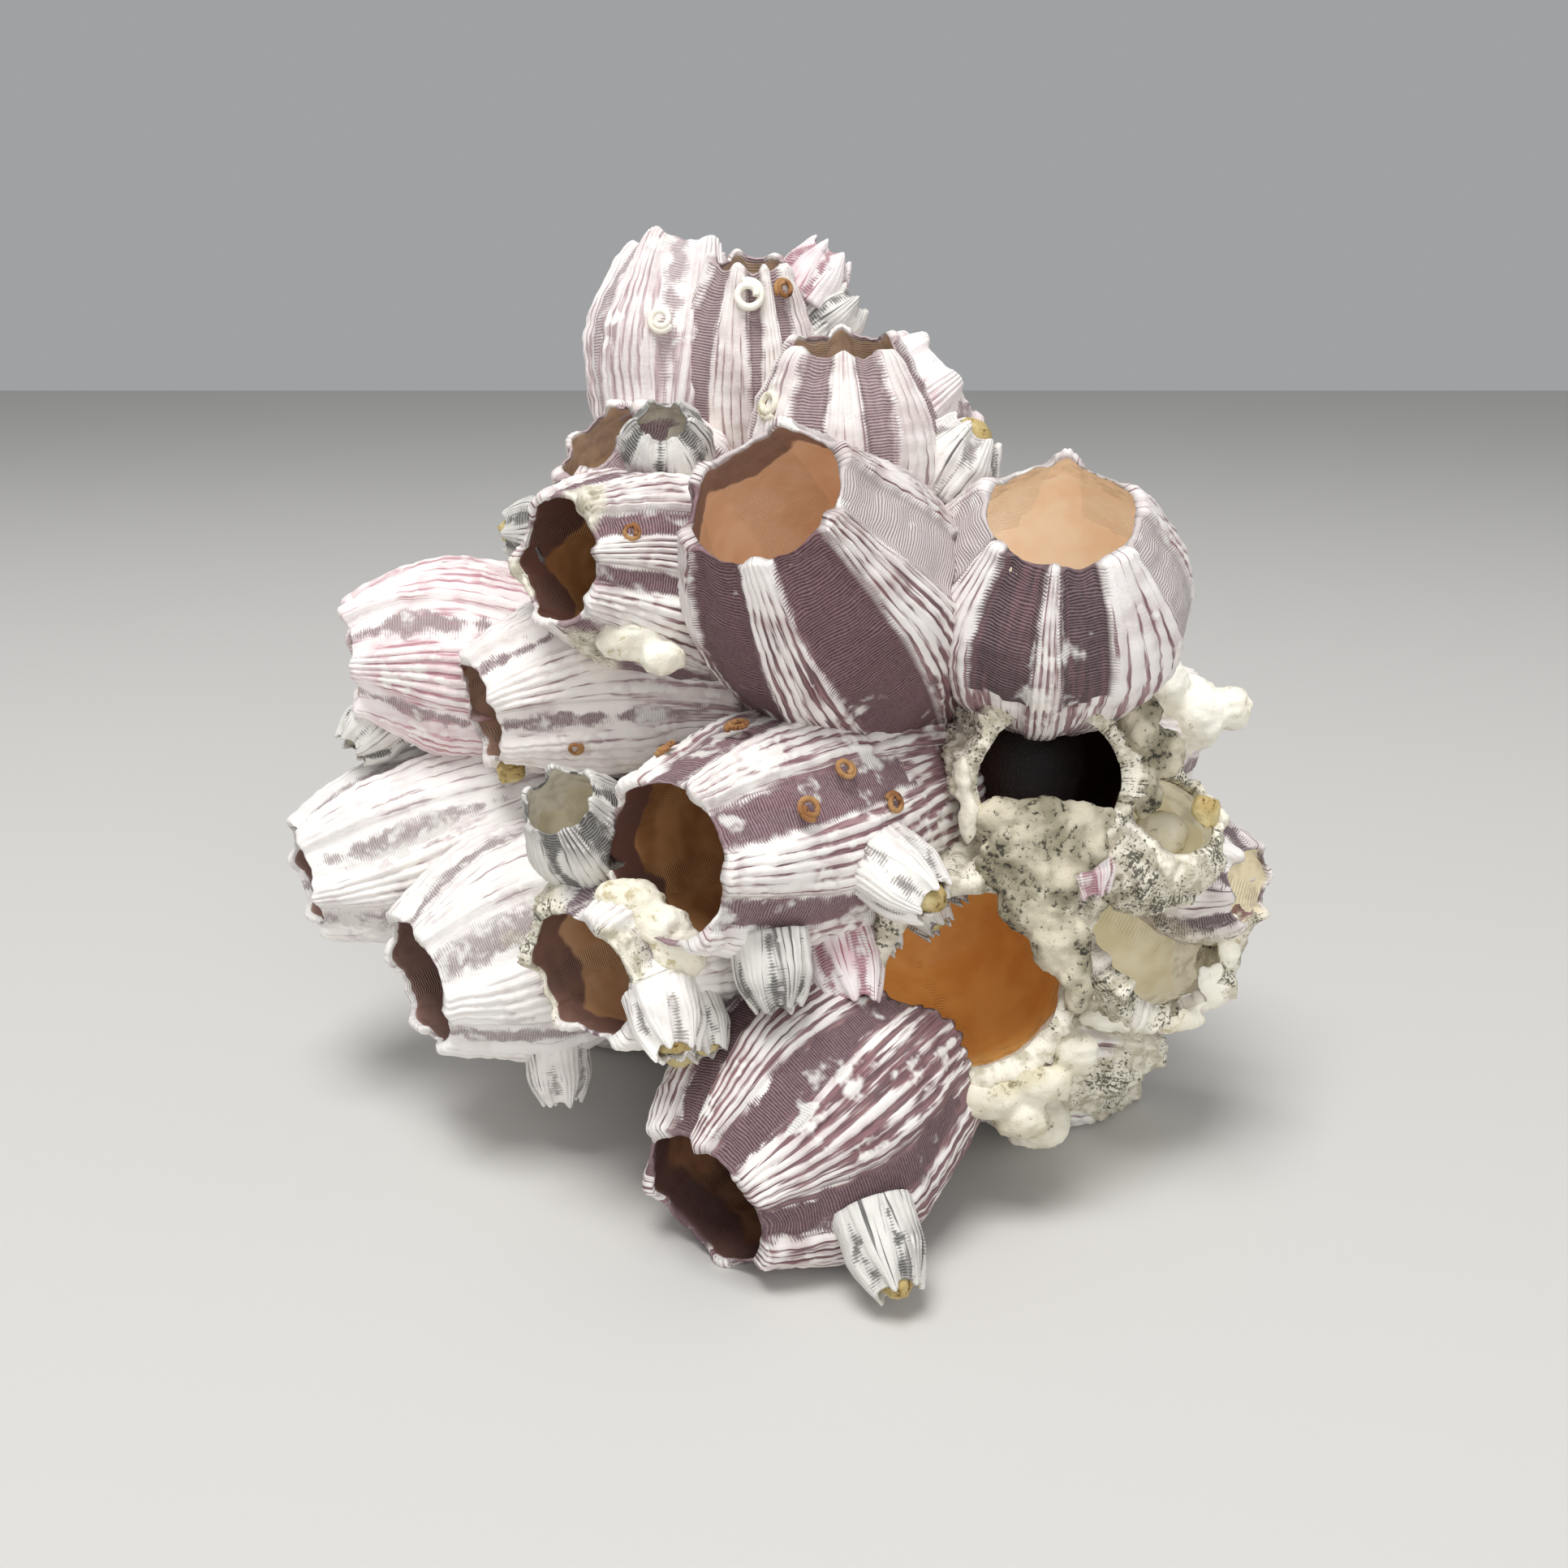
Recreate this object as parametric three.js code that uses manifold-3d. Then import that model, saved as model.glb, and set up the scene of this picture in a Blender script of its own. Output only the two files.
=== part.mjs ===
// A loose cluster of giant acorn barnacles, dead, dried and empty, as it stands on a table.
// Each large barnacle is one shell of six wall plates round an open mouth. The shells grew on one another,
// so each one stops at the walls of those that it grew against. Young barnacles and chalky knobs sit on the
// large walls. Millimetres, +Z up, +X to the right and +Y away from a viewer in front of the cluster.
import * as THREE from "three";
import { mergeVertices } from "three/addons/utils/BufferGeometryUtils.js";
import Module from "manifold-3d";

const wasm = await Module();
wasm.setup();

// Driving dimensions
const PLATES = 6; // wall plates round a shell
const WALL = 1.5; // thickness of a shell's wall
const RIDGE = 0.9; // how far a plate stands out of the wall
const PANEL_SINK = 0.6; // how far the panels between two plates lie back at the mouth
const TOOTH = 1.6; // how far a plate's tip stands above the mouth
const PLATE_SHARE = { base: 0.94, mouth: 0.42 }; // share of the girth that the plates cover
const BELLY_HEIGHT = 0.52; // where a shell is widest, as a share of its length
const FLOOR_HEIGHT = 0.25; // where a shell's hollow ends, as a share of its length
const BEND = 0.5; // share of a shell's length that faces as its mouth does
const GAP = 0.5; // gap between two shells that grew together
const FINEST = 0.3; // detail below this is left out where shells are cut
const WALL_HEIGHTS = [0, 0.38, 0.75, 1]; // rings of the outer wall, as shares of the length
const HOLLOW_HEIGHT = 0.55; // the ring where the hollow is widest
const ORIGIN = new THREE.Vector3(-3, 1, 0); // the middle of the cluster's foot, in the coordinates below

// The large shells, the first ones whole and each later one cut where it meets an earlier one.
// base and mouth are the middles of a shell's two ends, faces is the way its mouth looks, radii are those of
// the base, belly and mouth, roll turns its plates in degrees, and broken is the depth of a worn mouth's
// notches.
const SHELLS = [
  { name: "barnacle_right_upper", base: [31, -9, 62.5], mouth: [30.5, -25, 85], faces: [-0.05, -0.6, 0.8],
    radii: [9, 16, 9], roll: 28 },
  { name: "barnacle_center", base: [14, -3, 60], mouth: [-2, -30, 87.5], faces: [-0.38, -0.65, 0.66],
    radii: [10, 16, 9.5], roll: 23 },
  { name: "barnacle_front", base: [18, -8, 50], mouth: [-13, -38, 49], faces: [-0.62, -0.76, 0.1],
    radii: [10, 14, 9.7], roll: 42 },
  { name: "barnacle_broken_large", base: [16, 0, 36], mouth: [22, -30, 31.5], faces: [0.08, -0.98, 0.15],
    radii: [11, 15.5, 13], roll: 10, broken: 1 },
  { name: "barnacle_front_low", base: [17, -20, 20], mouth: [-9, -41, 9.5], faces: [-0.64, -0.7, -0.25],
    radii: [12, 17.3, 9.5], roll: 30 },
  { name: "barnacle_front_left", base: [-2, -13, 32], mouth: [-23, -34, 34], faces: [-0.6, -0.78, -0.15],
    radii: [9, 12.5, 8.5], roll: 0 },
  { name: "barnacle_broken_hollow", base: [28, -4, 51], mouth: [30.5, -26, 54.5], faces: [-0.05, -0.98, 0.1],
    radii: [9, 11.5, 10], roll: 0, broken: 1 },
  { name: "barnacle_small_right", base: [41, -15.5, 42], mouth: [45.5, -24, 50], faces: [0.2, -0.62, 0.75],
    radii: [6, 8, 6.3], roll: 0, broken: 0.8 },
  { name: "barnacle_small_right_outer", base: [46, -8, 39], mouth: [58, -14, 37.5], faces: [0.7, -0.68, 0.15],
    radii: [6, 8, 5.3], roll: 0 },
  { name: "barnacle_broken_right", base: [29, 2, 36], mouth: [47.5, -18, 34], faces: [0.45, -0.84, 0.25],
    radii: [10, 14.5, 12.5], roll: 0, broken: 1.5 },
  { name: "barnacle_center_left", base: [0, 0, 68], mouth: [-26, -18, 79], faces: [-0.71, -0.68, 0.1],
    radii: [9, 12.5, 8], roll: 8 },
  { name: "barnacle_left_low", base: [-15, -3, 32], mouth: [-46, -15, 25], faces: [-0.8, -0.55, -0.15],
    radii: [12, 15, 9], roll: 0 },
  { name: "barnacle_left_inner", base: [-4, 0, 60], mouth: [-38.5, -5, 58], faces: [-0.86, -0.45, -0.2],
    radii: [10, 12, 7.5], roll: 0 },
  { name: "barnacle_shoulder_left", base: [-11, 7, 74], mouth: [-23, 0, 91], faces: [-0.6, -0.4, 0.7],
    radii: [8, 12, 6.5], roll: 0 },
  { name: "barnacle_crown", base: [8, 0, 75], mouth: [7, -5, 102.5], faces: [-0.02, -0.2, 0.98],
    radii: [9, 12, 7], roll: 30 },
  { name: "barnacle_top", base: [-4, 10, 84], mouth: [-4, 8, 112], faces: [0, -0.22, 0.97],
    radii: [7, 9, 5], roll: 55 },
  { name: "barnacle_top_left", base: [-15, 15, 86], mouth: [-13, 20, 113.5], faces: [0.17, 0.3, 0.94],
    radii: [8, 11, 7], roll: 0 },
  { name: "barnacle_shoulder_right", base: [13, 12, 81], mouth: [20, 10, 98], faces: [0.75, 0.2, 0.62],
    radii: [8, 10, 7], roll: 0 },
  { name: "barnacle_left_upper", base: [-29, 13, 58], mouth: [-57.5, 8, 62], faces: [-0.95, -0.25, -0.05],
    radii: [10, 13, 7.5], roll: 0 },
  { name: "barnacle_left_outer", base: [-30, 12, 42], mouth: [-64.5, 2, 33], faces: [-0.88, -0.42, -0.15],
    radii: [10, 12.5, 8], roll: 0 },
  { name: "barnacle_small_left", base: [-20.5, -23, 44], mouth: [-25, -32, 54], faces: [-0.3, -0.62, 0.72],
    radii: [5, 6.5, 4.5], roll: 0 },
  { name: "barnacle_right_low", base: [25, -11, 16], mouth: [47, 6, 9.5], faces: [0.85, 0.5, -0.1],
    radii: [10, 12.5, 9], roll: 0 },
  { name: "barnacle_back_low", base: [0, 12, 24], mouth: [4, 44, 8.5], faces: [0.1, 0.9, -0.3],
    radii: [11, 15.5, 8.5], roll: 0 },
  { name: "barnacle_back_low_left", base: [-12, 16, 22], mouth: [-36, 32, 9], faces: [-0.75, 0.6, -0.3],
    radii: [10, 14.8, 8.5], roll: 0 },
  { name: "barnacle_back_low_right", base: [16, 15, 29], mouth: [42, 30, 20], faces: [0.75, 0.6, -0.2],
    radii: [10, 13, 8], roll: 0 },
  { name: "barnacle_back", base: [2, 12, 50], mouth: [6, 50, 48], faces: [0.1, 0.98, 0.05],
    radii: [10, 14, 9], roll: 0 },
  { name: "barnacle_back_left", base: [-16, 17, 48], mouth: [-38, 38, 50], faces: [-0.65, 0.75, 0.05],
    radii: [10, 13, 8], roll: 0 },
  { name: "barnacle_back_right", base: [22, 10, 49], mouth: [53, 11, 52], faces: [0.95, 0.25, 0.05],
    radii: [10, 13.5, 9], roll: 0 },
  { name: "barnacle_back_top", base: [2, 14, 68], mouth: [4, 42, 84], faces: [0.1, 0.8, 0.55],
    radii: [10, 13.5, 8], roll: 0 },
  { name: "barnacle_back_top_left", base: [-13, 18, 66], mouth: [-26, 34, 73], faces: [-0.65, 0.65, 0.4],
    radii: [8, 11.5, 7.5], roll: 0 },
];

// Young barnacles on the large walls. around, in degrees, and up, as a share of the length, say where on the
// wall of the shell that carries one. leans is the way that it turns away from straight out of that wall.
const YOUNG = [
  { on: "barnacle_front", around: 354, up: 0.5, leans: [0.5, -0.2, -0.6], radius: 4.6, height: 7 },
  { on: "barnacle_front", around: 312, up: 0.8, leans: [-0.1, 0, -0.6], radius: 4.2, height: 7 },
  { on: "barnacle_front", around: 302, up: 0.52, leans: [0, -0.5, -0.3], radius: 4.4, height: 8 },
  { on: "barnacle_front", around: 310, up: 0.25, leans: [0.3, -0.4, -0.3], radius: 3.2, height: 5 },
  { on: "barnacle_front_low", around: 348, up: 0.68, leans: [0.2, -0.3, -0.9], radius: 4.6, height: 8 },
  { on: "barnacle_left_low", around: 297, up: 0.6, leans: [0, 0, -0.5], radius: 4, height: 6 },
  { on: "barnacle_left_upper", around: 273, up: 0.9, leans: [-0.4, -0.4, 0.1], radius: 4.5, height: 5 },
  { on: "barnacle_center_left", around: 165, up: 0.85, leans: [-0.3, -0.4, -0.3], radius: 4.2, height: 5 },
  { on: "barnacle_shoulder_left", around: 18, up: 0.83, leans: [-0.3, 0.1, 0.9], radius: 5.5, height: 7 },
  { on: "barnacle_front_left", around: 348, up: 0.9, leans: [0, -0.2, -0.8], radius: 4.2, height: 6 },
  { on: "barnacle_front_left", around: 336, up: 0.75, leans: [0.2, -0.2, -0.8], radius: 3.5, height: 5 },
  { on: "barnacle_crown", around: 350, up: 0.42, leans: [-0.2, 0, 1.2], radius: 5.5, height: 7 },
  { on: "barnacle_top", around: 20, up: 0.85, leans: [0.1, 0.1, 1], radius: 4.5, height: 6 },
  { on: "barnacle_top", around: 5, up: 0.7, leans: [0.3, 0, 0.8], radius: 4, height: 6 },
  { on: "barnacle_broken_hollow", around: 294, up: 0.9, leans: [0, -0.3, -0.8], radius: 3.6, height: 4 },
];
const YOUNG_MOUTH = 0.6; // a young one's mouth as a share of its foot
const YOUNG_PIT = 0.5; // depth of its hollow as a share of its height
const YOUNG_ROOT = 1.2; // how deep its foot sits in the wall that carries it

// Chalky knobs grown onto a shell.
const KNOBS = [
  { on: "barnacle_back_right", at: [55.5, 3, 55.5], radius: 5.5 },
  { on: "barnacle_right_low", at: [31, -22, 10], radius: 4.5 },
];

const radians = THREE.MathUtils.degToRad;
const lerp = THREE.MathUtils.lerp;

// The middle line of a shell leaves the base and bends to the way that the mouth faces.
function middleLine({ base, mouth, faces }) {
  const start = new THREE.Vector3(...base).sub(ORIGIN);
  const end = new THREE.Vector3(...mouth).sub(ORIGIN);
  const facing = new THREE.Vector3(...faces).normalize();
  const bend = end.clone().addScaledVector(facing, -BEND * start.distanceTo(end));
  return new THREE.QuadraticBezierCurve3(start, bend, end);
}

// The two directions across a shell at a height on its middle line. The first is level on a shell that leans.
function across(line, height) {
  const along = line.getTangent(height);
  const upright = Math.abs(line.getTangent(1).z) >= 0.8;
  const reference = upright ? new THREE.Vector3(0, 1, 0) : new THREE.Vector3(0, 0, 1);
  const side = reference.cross(along).normalize();
  return { side, rise: along.clone().cross(side) };
}

// The radius of a shell's smooth wall at a height: out from the base to the belly, then in to the mouth.
function wallRadius([base, belly, mouth], height) {
  if (height < BELLY_HEIGHT) return lerp(base, belly, Math.sin((Math.PI / 2) * (height / BELLY_HEIGHT)));
  return lerp(mouth, belly, Math.cos((Math.PI / 2) * ((height - BELLY_HEIGHT) / (1 - BELLY_HEIGHT))));
}

// A point of a shell at an angle round it and a height up it, standing out of the smooth wall by lift.
function wallPoint(shell, angle, height, lift) {
  const line = middleLine(shell);
  const { side, rise } = across(line, height);
  const radius = wallRadius(shell.radii, height) + lift;
  return line
    .getPoint(height)
    .addScaledVector(side, radius * Math.cos(angle))
    .addScaledVector(rise, radius * Math.sin(angle));
}

// The columns round a shell at a height: each plate's two edges, and the middle of the panel beyond it.
function columns(shell, height) {
  const step = (2 * Math.PI) / PLATES;
  const half = (step / 2) * lerp(PLATE_SHARE.base, PLATE_SHARE.mouth, height);
  return Array.from({ length: PLATES }, (_, plate) => {
    const middle = radians(shell.roll) + plate * step;
    return [
      { angle: middle - half, lift: RIDGE, tooth: TOOTH },
      { angle: middle + half, lift: RIDGE, tooth: TOOTH },
      { angle: middle + step / 2, lift: -PANEL_SINK * height, tooth: 0 },
    ];
  }).flat();
}

// How far a column's rim stands above or below the mouth: teeth on a sound shell, notches on a broken one.
function rimHeight(shell, column, index) {
  if (!shell.broken) return column.tooth;
  return shell.broken * (Math.sin(index * 2.1) * 0.6 + Math.sin(index * 5.3) * 0.4);
}

// A ring of points round a shell at a height. liftOf moves a column's point out, rimOf along the shell.
function ring(shell, height, liftOf, rimOf) {
  const along = middleLine(shell).getTangent(height);
  return columns(shell, height).map((column, index) =>
    wallPoint(shell, column.angle, height, liftOf(column)).addScaledVector(along, rimOf(column, index)),
  );
}

// A closed skin over rings of points, from a first pole through the rings to a last pole.
function skin(first, rings, last) {
  const count = rings[0].length;
  const points = [first, ...rings.flat(), last];
  const faces = [];
  for (let i = 0; i < count; i++) {
    const next = (i + 1) % count;
    faces.push(0, 1 + next, 1 + i);
    for (let r = 0; r + 1 < rings.length; r++) {
      const low = 1 + r * count;
      const high = low + count;
      faces.push(low + i, low + next, high + next, low + i, high + next, high + i);
    }
    const top = 1 + (rings.length - 1) * count;
    faces.push(top + i, top + next, points.length - 1);
  }
  const geometry = new THREE.BufferGeometry().setFromPoints(points);
  geometry.setIndex(faces);
  return geometry;
}

function solidOf(geometry) {
  geometry.deleteAttribute("normal");
  geometry.deleteAttribute("uv");
  const merged = mergeVertices(geometry, 1e-4);
  return new wasm.Manifold(
    new wasm.Mesh({
      numProp: 3,
      vertProperties: merged.attributes.position.array,
      triVerts: new Uint32Array(merged.index.array),
    }),
  );
}

function geometryOf(solid) {
  const mesh = solid.getMesh();
  return new THREE.BufferGeometry()
    .setAttribute("position", new THREE.BufferAttribute(new Float32Array(mesh.vertProperties), 3))
    .setIndex(new THREE.BufferAttribute(new Uint32Array(mesh.triVerts), 1));
}

// The shell itself: a wall with plates outside, a rim, and a smooth hollow inside.
function shellSolid(shell) {
  const line = middleLine(shell);
  const none = () => 0;
  const rim = (column, index) => rimHeight(shell, column, index);
  const outside = WALL_HEIGHTS.map((height) =>
    ring(shell, height, (column) => column.lift, height === 1 ? rim : none),
  );
  const inside = [1, HOLLOW_HEIGHT].map((height) =>
    ring(shell, height, () => -WALL, height === 1 ? rim : none),
  );
  return solidOf(skin(line.getPoint(0), [...outside, ...inside], line.getPoint(FLOOR_HEIGHT)));
}

// The space that a shell takes up, its hollow included, with the gap that its neighbours keep.
function shellSpace(shell) {
  const line = middleLine(shell);
  const rings = WALL_HEIGHTS.map((height) =>
    ring(
      shell,
      height,
      (column) => column.lift + GAP,
      (column, index) => (height === 1 ? rimHeight(shell, column, index) + GAP : height === 0 ? -GAP : 0),
    ),
  );
  const below = line.getPoint(0).addScaledVector(line.getTangent(0), -GAP);
  const above = line.getPoint(1).addScaledVector(line.getTangent(1), GAP + TOOTH / 2);
  return solidOf(skin(below, rings, above));
}

// A young barnacle, or with gap the space that it takes up: a cone of six plates with a pit in its top.
function youngSolid(young, gap) {
  const shell = SHELLS.find(({ name }) => name === young.on);
  const foot = wallPoint(shell, radians(young.around), young.up, 0);
  const outward = wallPoint(shell, radians(young.around), young.up, 1).sub(foot);
  const along = outward.add(new THREE.Vector3(...young.leans)).normalize();
  const side = new THREE.Vector3(0, 0, 1).cross(along).normalize();
  const rise = along.clone().cross(side);
  const circle = (radius, height) =>
    Array.from({ length: PLATES }, (_, plate) => {
      const angle = (2 * Math.PI * plate) / PLATES;
      return foot
        .clone()
        .addScaledVector(along, height)
        .addScaledVector(side, radius * Math.cos(angle))
        .addScaledVector(rise, radius * Math.sin(angle));
    });
  const pit = gap ? young.height + gap : young.height * (1 - YOUNG_PIT);
  const rings = [
    circle(young.radius + gap, -YOUNG_ROOT - gap),
    circle(young.radius * YOUNG_MOUTH + gap, young.height + gap),
  ];
  const below = foot.clone().addScaledVector(along, -YOUNG_ROOT - gap);
  const above = foot.clone().addScaledVector(along, pit);
  return solidOf(skin(below, rings, above));
}

function knobSolid(knob, gap) {
  const centre = new THREE.Vector3(...knob.at).sub(ORIGIN);
  return solidOf(new THREE.IcosahedronGeometry(knob.radius + gap).translate(...centre));
}

// A shell with what grew on it fused to it.
function withGrowths(solid, name, gap) {
  const young = YOUNG.filter(({ on }) => on === name).map((one) => youngSolid(one, gap));
  const knobs = KNOBS.filter(({ on }) => on === name).map((knob) => knobSolid(knob, gap));
  return [...young, ...knobs].reduce((whole, growth) => whole.add(growth), solid);
}

function largestBody(solid) {
  return solid.decompose().reduce((best, body) => (body.volume() > best.volume() ? body : best));
}

const shellMaterial = new THREE.MeshStandardMaterial({ color: 0xd8c8c4, roughness: 0.75, metalness: 0 });

const floor = solidOf(new THREE.BoxGeometry(400, 400, 100).translate(0, 0, -50));
const cluster = new THREE.Group();
const taken = [floor];
for (const shell of SHELLS) {
  const whole = withGrowths(shellSolid(shell), shell.name, 0);
  const grown = taken.reduce((solid, space) => solid.subtract(space), whole);
  taken.push(withGrowths(shellSpace(shell), shell.name, GAP));
  const mesh = new THREE.Mesh(geometryOf(largestBody(grown.asOriginal().simplify(FINEST))), shellMaterial);
  mesh.name = shell.name;
  cluster.add(mesh);
}

export default cluster;
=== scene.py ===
"""A loose cluster of giant acorn barnacles, dead, dried and empty, on a plain pale floor."""

import math

import bpy
import numpy as np
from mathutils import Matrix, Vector


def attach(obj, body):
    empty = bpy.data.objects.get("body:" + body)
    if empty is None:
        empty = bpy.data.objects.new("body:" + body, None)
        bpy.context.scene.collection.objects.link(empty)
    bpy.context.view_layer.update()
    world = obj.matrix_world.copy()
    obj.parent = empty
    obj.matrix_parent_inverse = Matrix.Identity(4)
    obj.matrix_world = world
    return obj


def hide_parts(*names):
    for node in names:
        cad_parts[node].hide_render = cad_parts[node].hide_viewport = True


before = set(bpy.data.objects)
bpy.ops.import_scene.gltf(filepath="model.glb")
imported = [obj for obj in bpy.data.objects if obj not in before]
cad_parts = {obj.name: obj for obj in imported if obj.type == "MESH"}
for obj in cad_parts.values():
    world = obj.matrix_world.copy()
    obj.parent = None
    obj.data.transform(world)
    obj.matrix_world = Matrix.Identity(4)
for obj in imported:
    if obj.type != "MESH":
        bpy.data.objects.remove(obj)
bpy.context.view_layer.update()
bpy.ops.object.select_all(action="DESELECT")

# Sizes in millimetres, in the part's coordinates before its foot is put at the origin
MM = 0.001
ORIGIN = np.array((-3.0, 1.0, 0.0))
WALL = 1.5  # a wall's thickness deep down
LIP = 0.9  # and at the mouth
RIDGE = 0.55  # how far plates stand out
RIB = 0.5  # height of the ribs on a plate
PANEL_SINK = 0.6  # how far panels sink in at the mouth
TOOTH = 0.9  # how far the tips of plates stand up at the mouth
CUT_DEPTH = 1.0  # how far a neighbour reaches into a wall
YOUNG_ROOT = 1.2  # how far a young shell reaches into its host
PLUG_DEPTH = 1.0  # how far the dirt in a young shell's mouth lies below its rim
VOXEL = 0.4  # mesh step of the masses
UNEVEN = dict(chalk=0.4, cream=0.35, crust=0.55, dirt=0.6)  # height of a mass's bumps
SMALL_SHELL = 9  # belly radius below which a shell gets a plainer mesh

# Counts and turns, and shares of a shell's height, girth or radius
PLATES = 6
PLATE_STEP = 2 * math.pi / PLATES
PLATE_SHARE_BASE = 0.8
PLATE_SHARE_MOUTH = 0.42
BELLY_HEIGHT = 0.52
FLOOR_HEIGHT = 0.2
BEND = 0.5
YOUNG_TAPER = 0.6
PLUG_SHARE = 0.85
TUBE_TURNS = 1.35
TUBE_SHARE = 0.27

# Mesh columns on a plate and on a panel, and rows up the outside
FULL_MESH = (32, 14, 42)
PLAIN_MESH = (24, 10, 30)
YOUNG_MESH = (17, 5, 18)
RIBS = 5
FINE_RIBS = 6
YOUNG_RIBS = 4
FINE_RIBBED = ("striped", "wine", "pink", "lilac_stripes")

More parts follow.
